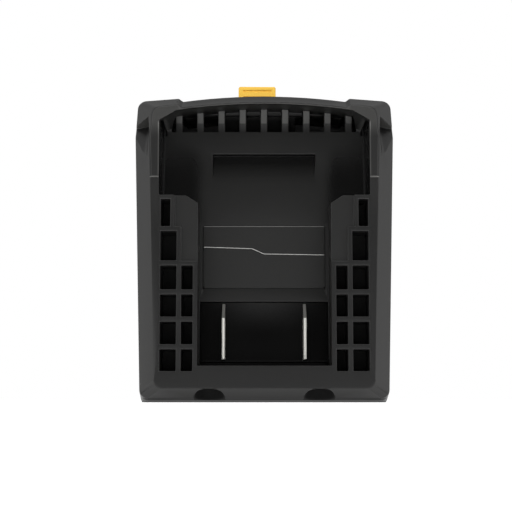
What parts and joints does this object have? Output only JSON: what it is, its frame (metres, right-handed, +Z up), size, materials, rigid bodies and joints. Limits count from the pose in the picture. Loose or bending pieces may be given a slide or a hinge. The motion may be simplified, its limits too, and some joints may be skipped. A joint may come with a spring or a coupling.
{
  "type": "tool battery adapter",
  "caption": "Slide-on battery adapter for a cordless tool: railed battery bay with blade terminals, vent comb, spring release latch and a slide foot behind.",
  "frame": {"origin": "middle of the flat base, on the plane where the front and rear shells meet", "axes": "+X to the right as seen from the open battery bay, +Y from the bay to the slide foot, +Z up, towards the release tab"},
  "size_m": [0.087, 0.0538, 0.11],
  "materials": {
    "shell_plastic": "fine moulded grain, satin",
    "terminal_plastic": "smooth",
    "contact_metal": "nickel plated",
    "label": "smooth, bare",
    "latch_plastic": "satin",
    "steel": "drawn",
    "board": "solder mask",
    "choke_body": "pressed ferrite",
    "capacitor_can": "sleeved can",
    "chip_epoxy": "moulded epoxy",
    "heat_sink_metal": "extruded",
    "lead_red": "insulation",
    "lead_black": "insulation",
    "screw_metal": "dark zinc"
  },
  "bodies": {
    "housing": {"front_shell": "shell_plastic", "rear_shell": "shell_plastic", "terminal_block": "terminal_plastic", "blade_positive": "contact_metal", "blade_negative": "contact_metal", "label_plate": "label", "latch_pivot_pin": "steel", "latch_spring": "steel", "circuit_board": "board", "power_choke": "choke_body", "capacitors": "capacitor_can", "power_transistors": "chip_epoxy", "control_chips": "chip_epoxy", "heat_sink": "heat_sink_metal", "contact_carrier": "terminal_plastic", "tool_contact_positive": "contact_metal", "tool_contact_negative": "contact_metal", "lead_positive": "lead_red", "lead_negative": "lead_black", "shell_screws": "screw_metal", "board_screws": "screw_metal", "block_screws": "screw_metal", "carrier_screws": "screw_metal"},
    "latch": {"release_latch": "latch_plastic"}
  },
  "joints": [
    {"name": "latch_press", "type": "hinge", "parent": "housing", "child": "latch", "pos_m": [-0.0023, 0.0095, 0.058], "axis": [1, 0, 0], "range_deg": [0, 5.5], "stiffness_Nm_per_rad": 0.4, "springref_deg": -11.46, "deforming": ["latch_spring"]}
  ]
}
